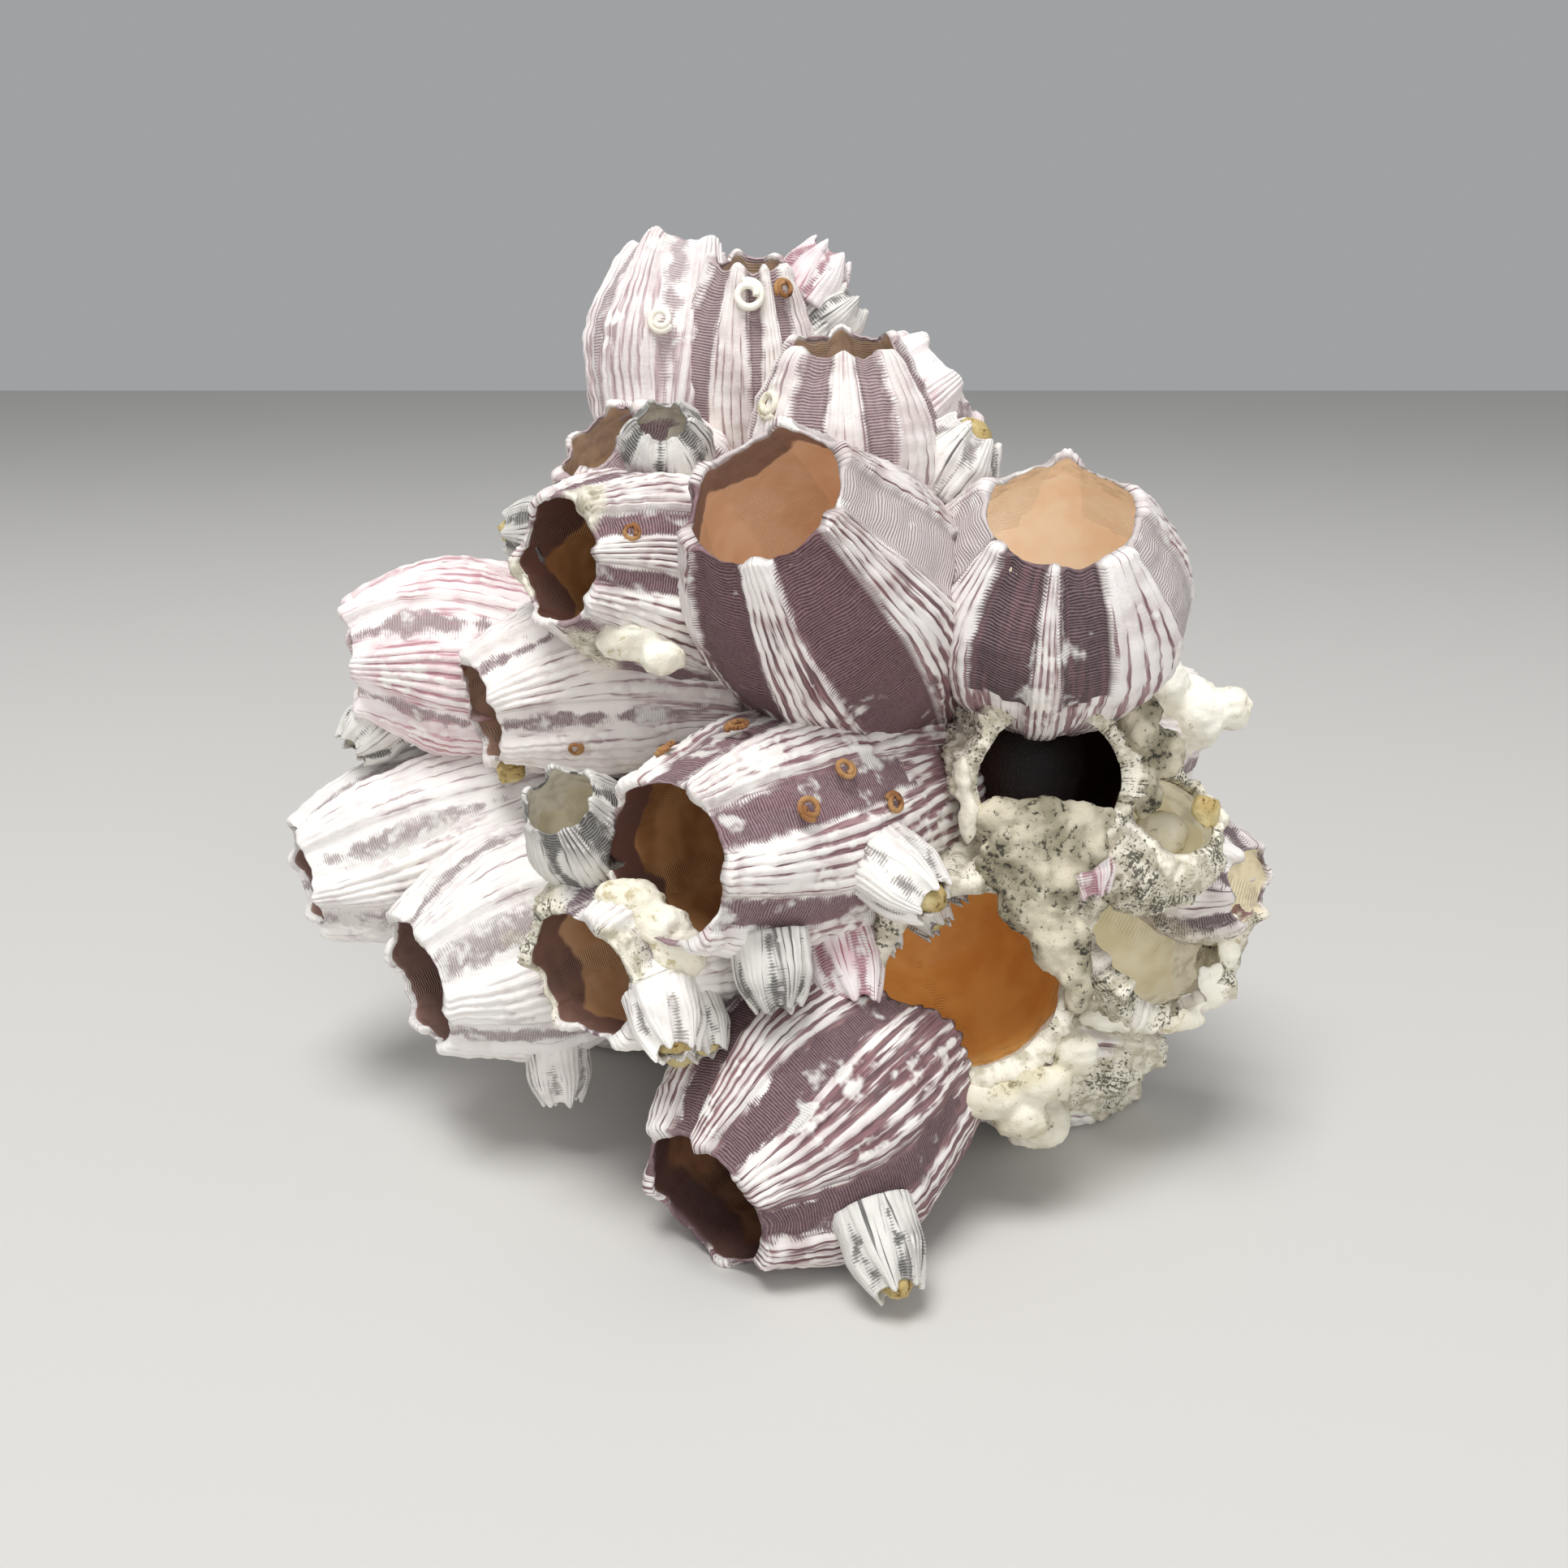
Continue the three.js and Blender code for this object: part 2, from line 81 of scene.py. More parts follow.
# The large shells, earlier ones whole and each later one cut where it meets an earlier one.
# base and mouth are the middles of the two ends, faces is the way the mouth looks, and radii are those of
# base, belly and mouth. roll turns all the plates in degrees, turns and widths turn and widen single ones,
# and faded lists those beside a faded panel. base_share and mouth_share are how much of the girth the plates
# take, panel_from is where the panels start, broken the depth of a worn mouth's notches, lip the rim's
# thickness, crust how much of the outside is overgrown, and look names the colouring.
SHELLS = [
    dict(name="barnacle_right_upper", base=(31, -9, 62.5), mouth=(30.5, -25, 85),
         faces=(-0.05, -0.6, 0.8), radii=(9, 16, 9), roll=31, turns=(-15, -8, 0, 7, -7, -20),
         widths=(1.4, 1, 1, 1, 0.5, 1.4), faded=(0, 1, 2, 5), base_share=0.62, mouth_share=0.36,
         panel_from=0.48, look="dark_panels"),
    dict(name="barnacle_center", base=(14, -3, 60), mouth=(-2, -30, 87.5), faces=(-0.38, -0.65, 0.66),
         radii=(10, 16, 9.5), roll=43, faded=(0, 1, 5), base_share=0.6, mouth_share=0.36, look="wine"),
    dict(name="barnacle_front", base=(18, -8, 50), mouth=(-13, -38, 49), faces=(-0.62, -0.76, 0.1),
         radii=(10, 14, 9.7), roll=7, base_share=0.7, panel_from=0.3, look="plum"),
    # Its hollow is painted near black, as painted shade deep in the hole
    dict(name="barnacle_broken_hollow", base=(28, -4, 51), mouth=(30.5, -26, 54.5),
         faces=(-0.05, -0.98, 0.1), radii=(9, 11.5, 10), roll=0, broken=1, lip=1.8, crust=1,
         look="painted_shade_inside"),
    dict(name="barnacle_broken_large", base=(16, 0, 36), mouth=(22, -30, 31.5), faces=(0.08, -0.98, 0.15),
         radii=(11, 15.5, 13), roll=10, broken=1, lip=2.4, crust=0.9, look="orange_inside"),
    dict(name="barnacle_front_low", base=(17, -20, 20), mouth=(-9, -41, 9.5), faces=(-0.64, -0.7, -0.25),
         radii=(12, 17.3, 9.5), roll=30, turns=(0, -12, -25, -15, 0, 0), widths=(1, 0.7, 1, 1, 1, 1),
         base_share=0.8, panel_from=0.15, look="striped"),
    dict(name="barnacle_front_left", base=(-2, -13, 32), mouth=(-23, -34, 34), faces=(-0.6, -0.78, -0.15),
         radii=(9, 12.5, 8.5), roll=0, crust=0.45, look="chalky"),
    dict(name="barnacle_small_right", base=(41, -15.5, 42), mouth=(45.5, -24, 50),
         faces=(0.2, -0.62, 0.75), radii=(6, 8, 6.3), roll=0, broken=0.8, lip=1.8, crust=0.8,
         look="bone_inside"),
    dict(name="barnacle_small_right_outer", base=(46, -8, 39), mouth=(58, -14, 37.5),
         faces=(0.7, -0.68, 0.15), radii=(6, 8, 5.3), roll=0, crust=0.3, look="cream_inside"),
    dict(name="barnacle_broken_right", base=(29, 2, 36), mouth=(47.5, -18, 34), faces=(0.45, -0.84, 0.25),
         radii=(10, 14.5, 12.5), roll=0, broken=2.2, lip=2.6, crust=0.6, look="bone_inside"),
    dict(name="barnacle_center_left", base=(0, 0, 68), mouth=(-26, -18, 79), faces=(-0.71, -0.68, 0.1),
         radii=(9, 12.5, 8), roll=8, turns=(4, -13, 0, 0, 0, 22), widths=(0.7, 1, 1, 1, 1, 1), crust=0.25,
         look="plum"),
    dict(name="barnacle_left_low", base=(-15, -3, 32), mouth=(-46, -15, 25), faces=(-0.8, -0.55, -0.15),
         radii=(12, 15, 9), roll=0, look="soft"),
    dict(name="barnacle_left_inner", base=(-4, 0, 60), mouth=(-38.5, -5, 58), faces=(-0.86, -0.45, -0.2),
         radii=(10, 12, 7.5), roll=18, look="lilac"),
    dict(name="barnacle_shoulder_left", base=(-11, 7, 74), mouth=(-23, 0, 91), faces=(-0.6, -0.4, 0.7),
         radii=(8, 12, 6.5), roll=0, look="pale"),
    dict(name="barnacle_crown", base=(8, 0, 75), mouth=(7, -5, 102.5), faces=(-0.02, -0.2, 0.98),
         radii=(9, 12, 7), roll=30, turns=(0, 0, 0, 8, -1, -15), widths=(1, 1, 1, 1, 0.8, 1),
         look="pale"),
    dict(name="barnacle_top", base=(-4, 10, 84), mouth=(-4, 8, 112), faces=(0, -0.22, 0.97),
         radii=(7, 9, 5), roll=55, turns=(0, 0, 8, 17, -7, -31), widths=(1, 1, 1, 1, 0.6, 1),
         look="pale"),
    dict(name="barnacle_top_left", base=(-15, 15, 86), mouth=(-13, 20, 113.5), faces=(0.17, 0.3, 0.94),
         radii=(8, 11, 7), roll=0, look="lilac_stripes"),
    dict(name="barnacle_shoulder_right", base=(13, 12, 81), mouth=(20, 10, 98), faces=(0.75, 0.2, 0.62),
         radii=(8, 10, 7), roll=0, look="pink"),
    dict(name="barnacle_left_upper", base=(-29, 13, 58), mouth=(-57.5, 8, 62),
         faces=(-0.95, -0.25, -0.05), radii=(10, 13, 7.5), roll=0, look="pink"),
    dict(name="barnacle_left_outer", base=(-30, 12, 42), mouth=(-64.5, 2, 33),
         faces=(-0.88, -0.42, -0.15), radii=(10, 12.5, 8), roll=0, look="soft"),
    dict(name="barnacle_small_left", base=(-20.5, -23, 44), mouth=(-25, -32, 54),
         faces=(-0.3, -0.62, 0.72), radii=(5, 6.5, 4.5), roll=0, look="grey"),
    dict(name="barnacle_right_low", base=(25, -11, 16), mouth=(47, 6, 9.5), faces=(0.85, 0.5, -0.1),
         radii=(10, 12.5, 9), roll=0, crust=0.5, look="chalky"),
    dict(name="barnacle_back_low", base=(0, 12, 24), mouth=(4, 44, 8.5), faces=(0.1, 0.9, -0.3),
         radii=(11, 15.5, 8.5), roll=0, look="wine"),
    dict(name="barnacle_back_low_left", base=(-12, 16, 22), mouth=(-36, 32, 9), faces=(-0.75, 0.6, -0.3),
         radii=(10, 14.8, 8.5), roll=0, look="lilac"),
    dict(name="barnacle_back_low_right", base=(16, 15, 29), mouth=(42, 30, 20), faces=(0.75, 0.6, -0.2),
         radii=(10, 13, 8), roll=0, look="wine"),
    dict(name="barnacle_back", base=(2, 12, 50), mouth=(6, 50, 48), faces=(0.1, 0.98, 0.05),
         radii=(10, 14, 9), roll=0, look="dark_panels"),
    dict(name="barnacle_back_left", base=(-16, 17, 48), mouth=(-38, 38, 50), faces=(-0.65, 0.75, 0.05),
         radii=(10, 13, 8), roll=0, look="wine"),
    dict(name="barnacle_back_right", base=(22, 10, 49), mouth=(53, 11, 52), faces=(0.95, 0.25, 0.05),
         radii=(10, 13.5, 9), roll=0, look="lilac"),
    dict(name="barnacle_back_top", base=(2, 14, 68), mouth=(4, 42, 84), faces=(0.1, 0.8, 0.55),
         radii=(10, 13.5, 8), roll=0, look="pale"),
    dict(name="barnacle_back_top_left", base=(-13, 18, 66), mouth=(-26, 34, 73), faces=(-0.65, 0.65, 0.4),
         radii=(8, 11.5, 7.5), roll=0, look="pink"),
]
SHELL_BY_NAME = {shell["name"]: shell for shell in SHELLS}

# The young barnacles that grew on the large ones: the place on the host's wall, as degrees around and a share
# of its height, the way they lean from straight out, and whether ochre dirt fills the mouth
YOUNG = [
    dict(on="front", around=354, up=0.5, leans=(0.5, -0.2, -0.6), radius=4.6, height=7, look="white",
         plug=True),
    dict(on="front", around=312, up=0.8, leans=(-0.1, 0, -0.6), radius=4.2, height=7, look="grey"),
    dict(on="front", around=302, up=0.52, leans=(0, -0.5, -0.3), radius=4.4, height=8, look="pink_young"),
    dict(on="front", around=310, up=0.25, leans=(0.3, -0.4, -0.3), radius=3.2, height=5, look="grey",
         plug=True),
    dict(on="front", around=318, up=0.14, leans=(0.4, -0.4, -0.4), radius=2.8, height=4.5, look="grey"),
    dict(on="front", around=308, up=0.4, leans=(0.2, -0.5, -0.4), radius=2.4, height=4, look="grey",
         plug=True),
    dict(on="front_low", around=348, up=0.68, leans=(0.2, -0.3, -0.9), radius=4.6, height=8, look="grey",
         plug=True),
    dict(on="left_low", around=297, up=0.6, leans=(0, 0, -0.5), radius=4, height=6, look="white"),
    dict(on="left_upper", around=273, up=0.9, leans=(-0.4, -0.4, 0.1), radius=4.5, height=5, look="grey"),
    dict(on="center_left", around=165, up=0.85, leans=(-0.3, -0.4, -0.3), radius=4.2, height=5,
         look="grey", plug=True),
    dict(on="shoulder_left", around=18, up=0.83, leans=(-0.3, -0.3, 0.6), radius=5.5, height=4.5,
         look="grey"),
    dict(on="front_left", around=348, up=0.9, leans=(0, -0.2, -0.8), radius=4.2, height=6, look="white",
         plug=True),
    dict(on="front_left", around=336, up=0.75, leans=(0.2, -0.2, -0.8), radius=3.5, height=5, look="grey",
         plug=True),
    dict(on="crown", around=350, up=0.42, leans=(-0.2, 0, 1.2), radius=5.5, height=7, look="white",
         plug=True),
    dict(on="top", around=20, up=0.85, leans=(0.1, 0.1, 1), radius=4.5, height=6, look="pink_young"),
    dict(on="top", around=5, up=0.7, leans=(0.3, 0, 0.8), radius=4, height=6, look="grey"),
    dict(on="broken_hollow", around=294, up=0.9, leans=(0, -0.3, -0.8), radius=3.6, height=4,
         look="pink_young"),
]

# Masses of lime, crust and dirt: the host, what they are made of, and the lumps that run together in them,
# each with its middle and its half sizes along X, Y and Z
MASSES = [
    dict(on="back_right", of="chalk", lumps=[
        ((53.5, 3, 55.5), (4.6, 5, 5)),
        ((58.8, 2.5, 56.5), (2.8, 2.8, 3)),
        ((49, 1.5, 59.5), (4, 3.5, 4)),
        ((51, 2, 52), (3.4, 3, 4)),
    ]),
    dict(on="broken_large", of="cream", lumps=[
        ((18, -31, 19), (4.5, 2.2, 1.8)),
        ((24, -31.5, 17), (5, 2.4, 2.1)),
        ((30, -30.8, 18.5), (4.2, 2.4, 2.4)),
        ((34.5, -29.5, 22), (2.6, 2.2, 3)),
        ((28, -31, 14.5), (3.4, 2.6, 2.6)),
        ((31, -24, 11), (4.5, 5, 4)),
    ]),
    dict(on="broken_right", of="chalk", lumps=[
        ((41, -20.5, 22.5), (4.5, 2, 1.6)),
        ((47.5, -19, 22), (5, 2, 2)),
        ((53, -16.5, 25), (3.4, 2, 3)),
        ((56, -14.5, 30), (1.6, 1.8, 4)),
    ]),
    dict(on="broken_hollow", of="crust", lumps=[
        ((29.8, -26.5, 50.3), (9.2, 1.8, 2.8)),
        ((27.8, -27.8, 45.5), (6, 1.8, 4.5)),
        ((34, -27.3, 46.8), (3.4, 1.8, 3.4)),
        ((29.5, -29.2, 41), (5, 1.8, 4.5)),
        ((31.8, -30.3, 37), (3.5, 1.7, 4.5)),
        ((33.8, -31, 32.5), (1.9, 1.6, 4.5)),
    ]),
    dict(on="broken_hollow", of="crust", lumps=[
        ((41.5, -23, 59.5), (2.6, 2.6, 4.5)),
        ((44, -22, 57), (3.4, 2.2, 3.4)),
        ((42, -24, 53), (2.2, 2, 3.5)),
    ]),
    dict(on="broken_hollow", of="cream", lumps=[
        ((20.6, -26.4, 55), (1.1, 1.6, 3.2)),
        ((21.3, -27, 50), (1.3, 1.6, 3)),
    ]),
    dict(on="front_left", of="chalk", lumps=[
        ((-17, -34.5, 43.5), (4, 2.4, 2.4)),
        ((-11.5, -36.5, 38), (3.4, 2.2, 3)),
        ((-13.5, -36, 41), (3.4, 2.2, 2.4)),
    ]),
    dict(on="front_left", of="dirt", lumps=[((-10, -33, 25), (3.6, 2.4, 2.4))]),
    dict(on="center_left", of="chalk", lumps=[
        ((-18, -20.3, 70), (4, 2.2, 2.4)),
        ((-14, -21, 68), (3, 2, 2.2)),
    ]),
    dict(on="left_inner", of="dirt", lumps=[((-35, -5, 50.5), (2, 1.6, 2))]),
    dict(on="small_right_outer", of="cream", lumps=[((45.5, -17.3, 45), (3.6, 2.2, 3.4))]),
    dict(on="small_right", of="dirt", lumps=[((49.3, -23, 49.5), (1.4, 1.6, 2.4))]),
]

# Coiled tubes that worms left on the walls: the place on the host's wall, the coil's radius and its material
WORM_TUBES = [
    dict(on="front", around=30, up=0.75, radius=1.3, of="amber"),
    dict(on="front", around=42, up=0.58, radius=1.2, of="amber"),
    dict(on="front", around=21, up=0.45, radius=1.2, of="amber"),
    dict(on="front", around=90, up=0.73, radius=1.3, of="amber"),
    dict(on="front", around=120, up=0.85, radius=1.3, of="amber"),
    dict(on="top", around=267, up=0.9, radius=1.8, of="chalk"),
    dict(on="top", around=306, up=0.92, radius=1.2, of="amber"),
    dict(on="top_left", around=264, up=0.6, radius=1.5, of="chalk"),
    dict(on="center_left", around=24, up=0.9, radius=1.0, of="amber"),
    dict(on="center_left", around=318, up=0.82, radius=1.3, of="chalk"),
    dict(on="crown", around=215, up=0.8, radius=1.6, of="chalk"),
    dict(on="left_inner", around=335, up=0.7, radius=0.9, of="amber"),
    dict(on="broken_hollow", around=280, up=0.97, radius=1.2, of="amber"),
    dict(on="broken_hollow", around=240, up=0.97, radius=1.3, of="amber"),
]

# Colourings. lime is the bare shell, wine the light and dark of the stripes on the plates, stripes their
# share, panel the dark and light lines of the panels, bite how far worn white eats into a panel in
# millimetres, ragged how unevenly it does so, chalk the share of worn white, sheath the inside near the
# mouth, hollow the light and dark of the inside deep down, glow the strength of a painted glow that
# the hollow gives off in place of the light its walls let through, and grime the dark in a crust
LOOKS = dict(
    wine=dict(lime="#f0eae6", wine=("#8a5d5e", "#552f38"), stripes=0.9, panel=("#46262c", "#a08286"),
        bite=-0.2, chalk=0.4, sheath="#94796c", hollow=("#f2d3b3", "#e8c19c"), glow=0.1, ragged=0.4),
    dark_panels=dict(lime="#f0ebe8", wine=("#a48788", "#764c52"), stripes=0.7,
        panel=("#38252a", "#8d797d"), bite=-0.4, chalk=0.5, sheath="#f0dcc2",
        hollow=("#f9ead6", "#f2dcc2"), glow=0.12, ragged=0.3),
    chalky=dict(lime="#f5f2ec", wine=("#a3868a", "#6d4d55"), stripes=0.42, panel=("#664e56", "#b5aaac"),
        bite=1.2, chalk=0.7, sheath="#8a6a5e", hollow=("#dcb48c", "#cc9c70"), glow=0.04),
    striped=dict(lime="#f0eae6", wine=("#85585b", "#5a343c"), stripes=1.05, panel=("#54373e", "#a38c90"),
        bite=0.6, chalk=0.5, sheath="#6d4f49", hollow=("#a87a5c", "#6d4a38"), glow=0.02),
    cream_inside=dict(lime="#f0eae6", wine=("#8a6d6e", "#5a4347"), stripes=0.5,
        panel=("#5a474c", "#a5979a"), bite=0.4, chalk=0.4, sheath="#efe8d2",
        hollow=("#f3ecd8", "#e2d8bc"), glow=0.2),
    plum=dict(lime="#f3efea", wine=("#9a7478", "#6d4048"), stripes=0.7, panel=("#604149", "#b8a1a5"),
        bite=0.8, chalk=0.6, sheath="#6d4c42", hollow=("#b98a5c", "#94663f"), glow=0.06, ragged=0.6),
    lilac_stripes=dict(lime="#f0ebe8", wine=("#c9b3b4", "#a58d90"), stripes=0.7,
        panel=("#b3a1a3", "#ded3d1"), bite=1.6, chalk=0.4, sheath="#b89a84",
        hollow=("#e0c4a4", "#c7a27e"), glow=0.08),
    soft=dict(lime="#f2eeea", wine=("#bfaeae", "#9a8788"), stripes=0.3, panel=("#a39596", "#dad1ce"),
        bite=1.6, chalk=0.7, sheath="#8d6f66", hollow=("#b08a70", "#8d6650"), glow=0.04),
    lilac=dict(lime="#f2ece7", wine=("#b89fa0", "#8d7375"), stripes=0.4, panel=("#7d666b", "#cbbcbc"),
        bite=1.4, chalk=0.65, sheath="#a58674", hollow=("#d9b592", "#bd9068"), glow=0.06),
    pale=dict(lime="#f2ece7", wine=("#bfa5a5", "#94797c"), stripes=0.5, panel=("#80646a", "#cdbcbb"),
        bite=-0.2, chalk=0.35, sheath="#d2b9a0", hollow=("#e0c4a4", "#c7a27e"), glow=0.08, ragged=0.5),
    pink=dict(lime="#f5edeb", wine=("#cfa3a8", "#b07a84"), stripes=0.6, panel=("#9c8688", "#d2c6c5"),
        bite=1.6, chalk=0.5, sheath="#a58674", hollow=("#d9b592", "#bd9068"), glow=0.06),
    grey=dict(lime="#dfdcd6", wine=("#8b8782", "#4a4847"), stripes=0.62, panel=("#4d4b4a", "#a8a5a0"),
        bite=0.4, chalk=0.35, sheath="#d2ccbc", hollow=("#ddd5bf", "#b9b096"), glow=0.1),
    white=dict(lime="#f3f0ea", wine=("#a39390", "#4d4446"), stripes=0.42, panel=("#8d8480", "#cfc8c2"),
        bite=0.5, chalk=0.6, sheath="#b09c84", hollow=("#b99c70", "#8a7350"), glow=0.03),
    pink_young=dict(lime="#f6efee", wine=("#c8919a", "#9c5c69"), stripes=0.55,
        panel=("#a8747e", "#dcbfc3"), bite=0.2, chalk=0.4, sheath="#a8756a",
        hollow=("#a8756a", "#7d4c40"), glow=0.03),
    orange_inside=dict(lime="#efe9d8", wine=("#98807a", "#6d5450"), stripes=0.3,
        panel=("#8d7a74", "#c8bcb0"), bite=2.0, chalk=0.6, sheath="#d9a55f",
        hollow=("#dca45a", "#d0924a"), glow=0.12),
    bone_inside=dict(lime="#f2eee3", wine=("#a37d82", "#6d4d55"), stripes=0.4,
        panel=("#8d7a74", "#c8bcb0"), bite=2.0, chalk=0.6, sheath="#f1ecda",
        hollow=("#efe8d2", "#dcd3b4"), glow=0.2, grime=0.6),
    # This look's near-black sheath and hollow are painted shade, the shade deep in the hole; its outside and
    # crust are the shell's own colours
    painted_shade_inside=dict(lime="#e2dccb", wine=("#77706a", "#4a4745"), stripes=0.5,
        panel=("#6d6660", "#b4ac9e"), bite=2.0, chalk=0.4, sheath="#3a1c12",
        hollow=("#2c140b", "#180904"), glow=0.02, grime=0.7),
)


def unit(vector):
    vector = np.asarray(vector, float)
    return vector / np.linalg.norm(vector)


def smooth(low, high, value):
    """0 below low, 1 above high, and a smooth climb between."""
    share = np.clip((value - low) / (high - low), 0, 1)
    return share * share * (3 - 2 * share)


def noise(points, size, seed):
    """Smooth random values from -1 to 1 at points, with lumps of about that size."""
    place = points / size + seed * 17.31
    cell = np.floor(place).astype(np.int64)
    within = place - cell
    within = within * within * (3 - 2 * within)
    total = np.zeros(points.shape[:-1])
    for corner in np.ndindex(2, 2, 2):
        at = cell + np.array(corner)
        mixed = at[..., 0] * 73856093 ^ at[..., 1] * 19349663 ^ at[..., 2] * 83492791
        mixed = (mixed ^ (mixed >> 13)) * 1274126177
        height = ((mixed ^ (mixed >> 16)) & 0xFFFF) / 32767.5 - 1
        weight = np.prod(np.where(np.array(corner) == 1, within, 1 - within), axis=-1)
        total += weight * height
    return total


def middle_line(shell, height):
    """Points and directions of a shell's middle line at heights from 0, the base, to 1, the mouth."""
    base = np.array(shell["base"], float) - ORIGIN
    mouth = np.array(shell["mouth"], float) - ORIGIN
    bend = mouth - unit(shell["faces"]) * BEND * np.linalg.norm(mouth - base)
    t = np.asarray(height, float)[..., None]
    points = (1 - t) ** 2 * base + 2 * (1 - t) * t * bend + t**2 * mouth
    along = 2 * (1 - t) * (bend - base) + 2 * t * (mouth - bend)
    return points, along / np.linalg.norm(along, axis=-1, keepdims=True)


def wall_radius(shell, height):
    base, belly, mouth = shell["radii"]
    low = base + (belly - base) * np.sin(math.pi / 2 * np.clip(height / BELLY_HEIGHT, 0, 1))
    over = np.clip((height - BELLY_HEIGHT) / (1 - BELLY_HEIGHT), 0, 1)
    high = mouth + (belly - mouth) * np.cos(math.pi / 2 * over)
    return np.where(height < BELLY_HEIGHT, low, high)


def wall_points(shell, angle, height, lift, rise=0.0):
    """Points of a shell's wall, standing out of it by lift and moved along the shell by rise."""
    centre, along = middle_line(shell, height)
    upright = abs(unit(shell["faces"])[2]) >= 0.8
    side = np.cross((0.0, 1.0, 0.0) if upright else (0.0, 0.0, 1.0), along)
    side /= np.linalg.norm(side, axis=-1, keepdims=True)
    up = np.cross(along, side)
    out = side * np.cos(angle)[..., None] + up * np.sin(angle)[..., None]
    radius = wall_radius(shell, height) + lift
    return centre + out * radius[..., None] + along * np.broadcast_to(rise, radius.shape)[..., None]


def wall_place(shell, around, up):
    """A point of a shell's outside and the way straight out of it there."""
    angle = np.radians([around, around + 4.0, around])
    height = np.array([up, up, up + 0.04])
    point, beside, above = wall_points(shell, angle, height, np.zeros(3))
    return point, unit(np.cross(beside - point, above - point))


def cup(name, first, rows, last, attributes):
    """A ball drawn out into a cup: one pole to first, its rings to the rows, and the other pole to last."""
    ring_count, round_count = rows.shape[:2]
    bpy.ops.mesh.primitive_uv_sphere_add(segments=round_count, ring_count=ring_count + 1, radius=1)
    piece = bpy.context.object
    piece.name = name
    mesh = piece.data
    ball = np.empty(len(mesh.vertices) * 3, np.float32)
    mesh.vertices.foreach_get("co", ball)
    ball = ball.reshape(-1, 3)
    ring = np.rint(np.arccos(np.clip(-ball[:, 2], -1, 1)) / math.pi * (ring_count + 1)).astype(int)
    turn = np.arctan2(ball[:, 1], ball[:, 0]) / (2 * math.pi)
    column = np.rint(turn * round_count).astype(int) % round_count
    column = np.where((ring == 0) | (ring == ring_count + 1), 0, column)
    ends = [np.broadcast_to(end, (1, round_count, 3)) for end in (first, last)]
    places = np.concatenate([ends[0], rows, ends[1]])[ring, column] * MM
    mesh.vertices.foreach_set("co", places.ravel())
    for key, values in attributes.items():
        values = np.broadcast_to(values, rows.shape[:2])
        padded = np.concatenate([values[:1], values, values[-1:]])[ring, column]
        mesh.attributes.new(key, "FLOAT", "POINT").data.foreach_set("value", padded.astype(np.float32))
    mesh.update()
    bpy.ops.object.shade_smooth()
    return piece


